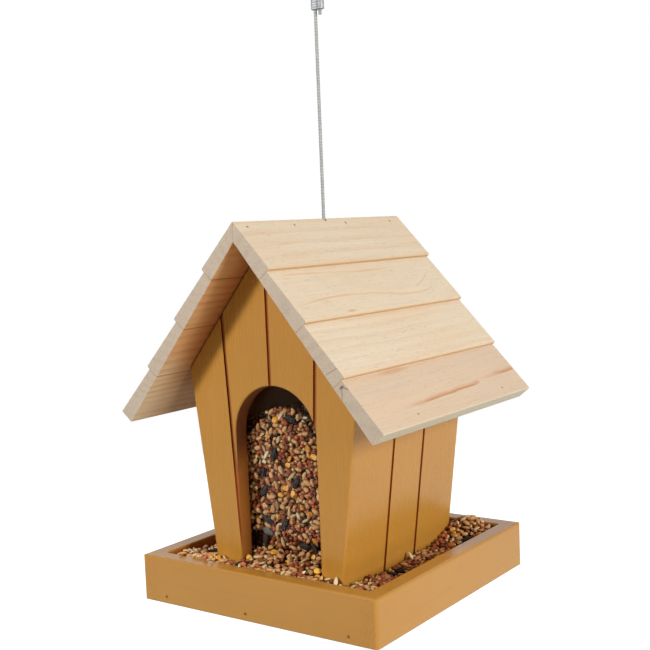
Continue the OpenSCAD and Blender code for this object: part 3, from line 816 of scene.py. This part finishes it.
def turned(rng, flat):
    """The rotation of a grain that lies nearly flat, at random."""
    heading = rng.uniform(0, 2 * pi)
    pitch, roll = rng.normal(0, flat), rng.normal(0, 2.5 * flat)
    spin, tip, rock = (Matrix.Rotation(a, 3, axis) for a, axis in ((heading, "Z"), (pitch, "Y"), (roll, "X")))
    return np.array(spin @ tip @ rock)


class Heap:
    """Grains laid one by one on a height grid: each rests on the ground or on the grains before it."""

    def __init__(self, low, high, ground, inside, roof):
        self.low = np.array(low, float)
        self.u, self.v = (np.arange(low[k], high[k], GRID_MM) for k in (0, 1))
        self.places = np.meshgrid(self.u, self.v, indexing="ij")
        self.level = ground(*self.places)
        self.level[~inside(*self.places)] = BLOCKED_MM
        self.roof = roof(*self.places)
        self.grains = []

    def footprint(self, half, turn):
        """A grain's reach in cells, which of them it covers, and its lower and upper side there."""
        spread = turn @ np.diag(half ** 2) @ turn.T
        reaches = [int(sqrt(spread[i, i]) / GRID_MM) for i in (0, 1)]
        du, dv = np.meshgrid(*(np.arange(-reach, reach + 1) * GRID_MM for reach in reaches), indexing="ij")
        flat = np.linalg.inv(spread[:2, :2])
        inner = flat[0, 0] * du ** 2 + 2 * flat[0, 1] * du * dv + flat[1, 1] * dv ** 2
        tilt = flat @ spread[:2, 2]
        height = spread[2, 2] - spread[2, :2] @ tilt
        middle = tilt[0] * du + tilt[1] * dv
        side = np.sqrt(np.maximum(0, height * (1 - inner)))
        return *reaches, inner < 1, middle - side, middle + side

    def below(self, i, j, foot):
        """The part of the grid under a grain whose centre is at a cell."""
        reach_u, reach_v = foot[:2]
        return self.level[i - reach_u:i + reach_u + 1, j - reach_v:j + reach_v + 1]

    def rest(self, i, j, foot):
        """How high a grain's centre comes to rest at a cell."""
        under, lower = foot[2:4]
        return np.max((self.below(i, j, foot) - lower)[under])

    def put(self, kind, half, turn, foot, i, j, shade):
        """Lays a grain at a cell and raises the level to its top."""
        rest = self.rest(i, j, foot)
        under, upper = foot[2], foot[4]
        below = self.below(i, j, foot)
        below[under] = np.maximum(below, rest + upper)[under]
        self.grains.append((kind, np.array((self.u[i], self.v[j], rest)), turn, half, shade))

    def place(self, kind, u, v, heading, shade):
        """Lays a chosen grain at the free place nearest to a chosen one: flat, but husks tipped up."""
        half = np.array(SEED_KINDS[kind][0]) / 2 * CHOSEN_SIZE
        tip = HUSK_TIP if kind == "husk" else 0.0
        turn = np.array(Matrix.Rotation(heading, 3, "Z") @ Matrix.Rotation(tip, 3, "Y"))
        foot = self.footprint(half, turn)
        i, j = (round((at - low) / GRID_MM) for at, low in zip((u, v), self.low))
        most = round(SEARCH_MM / GRID_MM)
        steps = range(-most, most + 1)
        for _, across, along in sorted((a * a + b * b, a, b) for a in steps for b in steps):
            reach = self.below(i + across, j + along, foot)
            if reach.shape == foot[2].shape and np.max(reach[foot[2]]) < BLOCKED_MM:
                self.put(kind, half, turn, foot, i + across, j + along, shade)
                return

    def fill(self, rng, shares, most, flat=0.22, tries=9, drop=0.0, shades=SHADES):
        """Lays each grain at the lowest of a few places, until none has room below the roof less a drop."""
        kinds = list(SEED_KINDS)
        missed = 0
        while len(self.grains) < most and missed < 150:
            kind = kinds[int(rng.choice(len(kinds), p=shares))]
            half = np.array(SEED_KINDS[kind][0]) / 2 * rng.uniform(0.86, 1.12, 3)
            turn = turned(rng, flat)
            foot = self.footprint(half, turn)
            found = []
            for _ in range(tries):
                i, j = (int(rng.integers(reach, size - reach)) for reach, size in zip(foot, self.level.shape))
                if self.level[i, j] >= BLOCKED_MM:
                    continue
                rest = self.rest(i, j, foot)
                if rest + half[2] * 0.6 <= self.roof[i, j] - drop:
                    found.append((rest, i, j))
            missed = 0 if found else missed + 1
            if found:
                self.put(kind, half, turn, foot, *min(found)[1:], rng.uniform(*shades))


def house_half_mm(z_mm):
    """Half the width of the house at a height."""
    return FOOT_HALF_MM + (z_mm - FLOOR_TOP_MM) * tan(LEAN)


def soft_step(value, low, high):
    t = np.clip((value - low) / (high - low), 0, 1)
    return t * t * (3 - 2 * t)


def mound_top(x, y):
    """Height of the seed in the house: level, with a mound against the front pane, steeper on its right."""
    aside = x - MOUND_X_MM
    steep = np.where(aside < 0, 0.022, 0.029)
    at_pane = MOUND_TOP_MM - steep * aside ** 2 + 0.7 * np.sin(x / 3.1)
    near_pane = soft_step(-y, 30, PANE_Y_MM - 3)
    return HOUSE_FILL_MM + (at_pane - HOUSE_FILL_MM) * near_pane


def tray_open(x, y):
    """Outside the house, or in one of the two feeding gaps."""
    house = (np.abs(x) < house_half_mm(38) + 0.2) & (np.abs(y) < GABLE_Y_MM + 0.3)
    arch_x = np.where(y < 0, ARCH_X_MM, -ARCH_X_MM)
    gap = (np.abs(x - arch_x) < ARCH_HALF_MM - 0.3) & (np.abs(y) > PANE_Y_MM + 0.4)
    return ~house | gap


def between_rails(x, y):
    return (np.abs(x) < RAIL_X_MM - 0.2) & (np.abs(y) < RAIL_X_MM - 0.2)


def tray_level(x, y):
    """Height of the seed in the tray: it falls away from both windows and is heaped at the back right."""
    arch_x = np.where(y < 0, ARCH_X_MM, -ARCH_X_MM)
    at_mouth = np.exp(-(((x - arch_x) / 46) ** 4)) * soft_step(np.abs(y), 30, PANE_Y_MM)
    mouth = 30.6 + 7.8 * np.exp(-np.clip(np.abs(y) - PANE_Y_MM, 0, None) / 13)
    channel = np.where(x < 0, 28.6, 27.2 - 3.0 * np.exp(-(((y + 22) / 30) ** 2)))
    back_heap = 13.5 * np.exp(-(((x - 68) / 17) ** 2 + ((y - 78) / 17) ** 2))
    front_left = 3.4 * soft_step(-x, 32, 55) * soft_step(-y, 55, 75)
    ripple = 0.7 * np.sin(x / 9.0 + 1.3) * np.sin(y / 7.5 + 0.4)
    return channel + (mouth - channel) * at_mouth + back_heap + front_left + ripple


def on_tray_seed(pixel):
    """Where the line of sight through a pixel meets the seed of the tray or the top of a rail, in plan."""
    away = np.arange(600, 1200, 0.5)
    x, y, z = (at / MM + along * away for at, along in zip(CAMERA_AT, seen_through(pixel)))
    met = z < np.where(between_rails(x, y), tray_level(x, y), RAIL_TOP_MM + 1.5)
    first = int(np.argmax(met))
    return x[first], y[first]


def on_front_pane(pixel):
    """Where the line of sight through a pixel meets the inside of the front pane: across and up."""
    ray = seen_through(pixel)
    reach = (-PANE_Y_MM - CAMERA_AT.y / MM) / ray.y
    return CAMERA_AT.x / MM + ray.x * reach, CAMERA_AT.z / MM + ray.z * reach


def tray_heap():
    """A lower layer, the chosen grains on it, the rest around them, and strays on the front rail's edge."""
    edge = RAIL_X_MM + 5
    heap = Heap(
        (-edge, -edge), (edge, edge),
        lambda x, y: np.where(between_rails(x, y), tray_level(x, y) - 6.0, RAIL_TOP_MM), tray_open, tray_level
    )
    rng = np.random.default_rng(11)
    heap.fill(rng, TRAY_SHARES, 1800, drop=2.6, shades=TRAY_SHADES)
    for kind, *pixel, slant, shade in TRAY_GRAINS_PX:
        heap.place(kind, *on_tray_seed(pixel), radians(AZIMUTH_DEG + slant), shade)
    x, y = heap.places
    whole = heap.roof
    heap.roof = np.where((x > 52) & (np.abs(y) < 50), whole, 0)
    heap.fill(rng, CHANNEL_SHARES, len(heap.grains) + 420)
    heap.roof = whole
    heap.fill(rng, TRAY_SHARES, 4200, shades=TRAY_SHADES)
    on_edge = (np.abs(y + RAIL_X_MM + 0.6) < 1.3) & (np.abs(x + 20) < 58)
    heap.roof = np.where(on_edge, RAIL_TOP_MM + 3.5, 0)
    heap.fill(rng, TRAY_SHARES, len(heap.grains) + 16, flat=0.10, shades=TRAY_SHADES)
    return heap.grains, np.eye(3), np.zeros(3)


def window_heap(sign):
    """Grains pressed against a pane, the front one for sign -1. The grid's height runs into the house."""
    voids = PANE_VOIDS_MM if sign < 0 else []
    chosen = PANE_GRAINS_PX if sign < 0 else []

    def inside(u, z):
        x = sign * u
        width = house_half_mm(z) - WALL_MM / cos(LEAN) - 0.5
        top = mound_top(x, np.full(x.shape, sign * PANE_Y_MM))
        filled = (np.abs(x) < width) & (np.abs(x + sign * ARCH_X_MM) < ARCH_HALF_MM + 9)
        for (void_x, void_z), (half_x, half_z) in voids:
            filled &= ((x - void_x) / half_x) ** 2 + ((z - void_z) / half_z) ** 2 > 1
        return filled & (z < top) & (z > PANE_Z_MM - 9)

    heap = Heap(
        (-60, PANE_Z_MM - 12), (60, 146), lambda u, z: np.full(u.shape, 0.15), inside,
        lambda u, z: np.full(u.shape, 6.5)
    )
    for kind, *pixel, slant, shade in chosen:
        x, z = on_front_pane(pixel)
        heap.place(kind, -x, z, radians(180 - slant), shade)
    heap.fill(np.random.default_rng(21 if sign < 0 else 22), HOUSE_SHARES, 2000, flat=0.16, tries=7)
    axes = np.array([[sign, 0, 0], [0, 0, 1], [0, -sign, 0]])
    return heap.grains, axes, np.array([0, sign * PANE_Y_MM, 0])


def hopper_top_heap():
    """The surface of the seed in the house, seen when the roof is lifted."""
    width = house_half_mm(136) - WALL_MM / cos(LEAN) - 0.6

    def inside(x, y):
        return (np.abs(x) < width) & (np.abs(y) < PANE_Y_MM - 6.0)

    heap = Heap((-60, -60), (60, 60), lambda x, y: mound_top(x, y) - 4.4, inside, mound_top)
    heap.fill(np.random.default_rng(31), HOUSE_SHARES, 1500, flat=0.25)
    return heap.grains, np.eye(3), np.zeros(3)


def seed_material(kind):
    """A finish for one kind of grain, with a shade for each grain and marks placed on its form."""
    main, deep, light = (colour(*tone) for tone in SEED_KINDS[kind][2:])
    glossy = kind in ("maize", "millet")
    s = Surface("seed_" + kind, 0.45 if glossy else 0.15 if kind == "sunflower" else 0.35, main)
    shade = s.add("Attribute", {}, attribute_name="grain_shade").outputs["Fac"]
    form = s.add("Attribute", {}, attribute_name="grain_form").outputs["Vector"]
    lengthwise, sideways, upwards = s.add("SeparateXYZ", {0: form}).outputs[:3]
    mottle = s.noise(s.place, 900)
    s.paint(s.ramp(shade, *((0.42, 0.36) if kind == "millet" else (0.35, 0.0))), deep)
    s.paint(s.ramp(shade, 0.9 if kind == "sunflower" else 0.65, 1.0), light)
    if kind == "wheat":
        # Painted shade in the wheat grain's crease
        crease = s.all_of(s.ramp(s.abs(sideways), 0.26, 0.04), s.ramp(upwards, 0.0, 0.3))
        s.paint(crease, deep, 0.6)
        s.paint(s.ramp(lengthwise, 0.72, 0.95), light, 0.5)
    if kind == "sunflower":
        stripe = s.ramp(s.calc("SINE", s.times(sideways, 14.0)), 0.75, 0.95)
        s.paint(s.all_of(stripe, s.near(shade, 0.75, 0.06, 0.04)), colour(150, 146, 140))
    if kind == "maize":
        s.paint(s.ramp(lengthwise, 0.35, 0.8), colour(238, 214, 160), 0.55)
    if kind == "milo":
        s.paint(s.ramp(lengthwise, 0.80, 0.95), colour(44, 24, 20), 0.7)
    s.scale(mottle, 0.5, 0.75)
    return s.finished(s.linear(mottle, 0.2, 0.3 if glossy else 0.5), mottle, 0.00015, 0.5)


def seed_bed_material():
    """What shows between the grains: more of them, with painted shade that darkens them."""
    s = Surface("seed_bed", 0.2, colour(150, 100, 62))
    cells = s.add("TexVoronoi", {"Vector": s.place, "Scale": 240.0}).outputs
    pick = s.dot((1, 0, 0), cells["Color"])
    s.paint(s.ramp(pick, 0.45, 0.6), colour(116, 72, 40))
    s.paint(s.ramp(pick, 0.78, 0.85), colour(66, 46, 32))
    # Painted shade in the gaps between the cells
    s.paint(s.ramp(cells["Distance"], 0.0016, 0.0032), colour(84, 52, 30), 0.8)
    return s.finished(0.8, cells["Distance"], -0.5, 0.6)


def make_seeds(heaps):
    """Joins the grains of all heaps into one piece for each kind."""
    for kind in SEED_KINDS:
        form, form_faces = seed_form(kind)
        points, shades = [], []
        for grains, axes, start in heaps:
            for grain_kind, centre, turn, half, shade in grains:
                if grain_kind == kind:
                    points.append(((form * half) @ turn.T + centre) @ axes + start)
                    shades.append(shade)
        firsts = range(0, len(form) * len(points), len(form))
        faces = [tuple(first + corner for corner in face) for first in firsts for face in form_faces]
        piece = new_piece(
            "seed_" + kind, np.concatenate(points) * MM, faces, seed_material(kind),
            ["seed_hopper", "seed_tray"], smooth=kind != "maize"
        )
        marks = piece.data.attributes
        shade_marks = marks.new("grain_shade", "FLOAT", "POINT").data
        shade_marks.foreach_set("value", np.repeat(shades, len(form)))
        form_marks = marks.new("grain_form", "FLOAT_VECTOR", "POINT").data
        form_marks.foreach_set("vector", np.tile(form, (len(points), 1)).ravel())


def make_bed(name, node, material, lines, filled, place):
    """A closed block of seed over the filled cells of a grid. Its corners lie where place says."""
    numbers, points, faces = {}, [], []

    def corner(i, j, top):
        if (i, j, top) not in numbers:
            numbers[i, j, top] = len(points)
            points.append([float(at) * MM for at in place(lines[i], lines[j], top)])
        return numbers[i, j, top]

    for i, j in zip(*np.nonzero(filled)):
        ring = [(i, j), (i + 1, j), (i + 1, j + 1), (i, j + 1)]
        faces.append([corner(*at, True) for at in ring])
        faces.append([corner(*at, False) for at in reversed(ring)])
        beside = [(i, j - 1), (i + 1, j), (i, j + 1), (i - 1, j)]
        for side, (a, b) in enumerate(beside):
            if 0 <= a < len(filled) and 0 <= b < len(filled) and filled[a, b]:
                continue
            p, q = ring[side], ring[(side + 1) % 4]
            faces.append([corner(*p, False), corner(*q, False), corner(*q, True), corner(*p, True)])
    new_piece(name, points, faces, material, [node])


def make_beds(material):
    """The beds under the grains: on the tray's floor board, and in the house with a bumpy top."""
    edge = RAIL_X_MM - 0.4
    lines = np.linspace(-edge, edge, int(2 * edge / BED_CELL_MM) + 1)
    middles = (lines[:-1] + lines[1:]) / 2
    x, y = np.meshgrid(middles, middles, indexing="ij")
    floor_mm = FLOOR_TOP_MM + 0.05

    def in_tray(x, y, top):
        return x, y, tray_level(x, y) - 5.2 if top else floor_mm

    make_bed("seed_bed_tray", "seed_tray", material, lines, tray_open(x, y) & between_rails(x, y), in_tray)
    wall = WALL_MM / cos(LEAN) + 0.7
    depth = PANE_Y_MM - 6.2
    low_half, top_half = (house_half_mm(z) - wall for z in (FLOOR_TOP_MM, HOUSE_FILL_MM))

    def in_house(u, v, top):
        if not top:
            return u * low_half, v * depth, floor_mm
        bumps = 0.6 * sin(17 * u) * sin(14 * v)
        return u * top_half, v * depth, mound_top(u * top_half, v * depth) - 4.2 + bumps

    shares = np.linspace(-1, 1, 24)
    whole = np.ones((len(shares) - 1, len(shares) - 1), bool)
    make_bed("seed_bed_house", "seed_hopper", material, shares, whole, in_house)


# Finishes of the modelled pieces

def finish(material, *nodes):
    for node in nodes:
        NODES[node].data.materials.clear()
        NODES[node].data.materials.append(material)


def finish_wood():
    """Gives every wooden node its own board."""
    up, right, back = (0, 0, 1), (1, 0, 0), (0, 1, 0)
    stained = [
        ("tray_rail_front", right, up, 2.0), ("tray_rail_back", right, up, 9.0),
        ("tray_floor", back, right, 29.0),
        ("tray_rail_right", back, up, 15.0, None, (0.002, 0.112)),
        ("tray_rail_left", back, up, 23.0, None, (0.025, -0.070)),
        ("gable_front", up, right, 37.0, gable_groove_mask),
        ("gable_back", up, right, 41.0, gable_groove_mask),
        ("side_right", up, back, 47.0, side_groove_mask), ("side_left", up, back, 53.0, side_groove_mask),
    ]
    for node, *board in stained:
        finish(stained_wood("stain_" + node.removeprefix("tray_"), *board), node)
    for place, node in enumerate(ROOF_BOARDS):
        finish(pine(node, 4.0 + 6.3 * place), node)
    finish(dowel_wood(), "crossbar")


# Studio

def make_world():
    """White to the eye and in reflections, and softer for the light it gives."""
    bpy.context.scene.world = bpy.data.worlds.new("studio")
    bpy.context.scene.world.use_nodes = True
    sky = Shading(bpy.context.scene.world.node_tree)
    background = sky.tree.nodes["Background"]
    background.inputs["Color"].default_value = WHITE
    strength = sky.add("MapRange", {0: sky.seen_ray(), 3: AMBIENT, 4: 1.0}).outputs[0]
    sky.feed(background.inputs["Strength"], strength)


def make_floor():
    """A pale round floor that keeps the shadow and fades into the white around it."""
    s = Surface("pale_floor", 0.1, (0.5, 0.5, 0.5, 1))
    glow = s.linear(s.ramp(s.distance(s.x, s.y), 0.3, 0.8), 0.35, 0.65)
    s.put({"Emission Color": WHITE, "Emission Strength": s.times(glow, s.seen_ray())})
    sides = 96
    turns = [2 * pi * k / sides for k in range(sides)]
    mesh = bpy.data.meshes.new("floor")
    mesh.from_pydata([
        (STUDIO_RADIUS * cos(turn), STUDIO_RADIUS * sin(turn), STUDIO_Z)
        for turn in turns
    ], [], [tuple(range(sides))])
    mesh.materials.append(s.finished(0.9))
    new_object("floor", mesh)


def make_studio():
    """The world, the floor and square soft lamps aimed at the middle of the house."""
    bpy.context.scene.view_settings.view_transform = "Standard"
    make_world()
    make_floor()
    for name, (azimuth_deg, elevation_deg, distance, width, power) in LAMPS.items():
        lamp = new_object(name, bpy.data.lights.new(name, "AREA"))
        lamp.data.size = width
        lamp.data.energy = power
        away = toward(azimuth_deg, elevation_deg)
        lamp.location = LAMPS_AIM + away * distance
        lamp.rotation_mode = "QUATERNION"
        lamp.rotation_quaternion = away.to_track_quat("Z", "Y")


def main():
    make_camera()
    cable_steel = metal("cable_wire", (146, 147, 143), (112, 113, 110), 0.50, 3000)
    bright = metal("crimped_aluminium", (150, 152, 153), (104, 106, 107), 0.44, 1800)
    dull = metal("dull_steel", (150, 146, 138), (92, 84, 74), 0.42, 2400)
    cable, line, length = make_cable(cable_steel)
    sleeve = make_sleeve(bright)
    finish_wood()
    finish(dull, "floor_screws", "window_screws", "cable_washer")
    finish(stained_head("brad_in_stain", (144, 96, 46), (112, 70, 32)), "tray_brads")
    finish(stained_head("brad_in_pine", (188, 156, 122), (162, 130, 98)), "ridge_brads")
    finish(bright, "cable_stop")
    finish(clear_pane(), "window_front", "window_back")
    make_beds(seed_bed_material())
    make_seeds([tray_heap(), window_heap(-1), window_heap(1), hopper_top_heap()])
    make_studio()
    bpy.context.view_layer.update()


main()
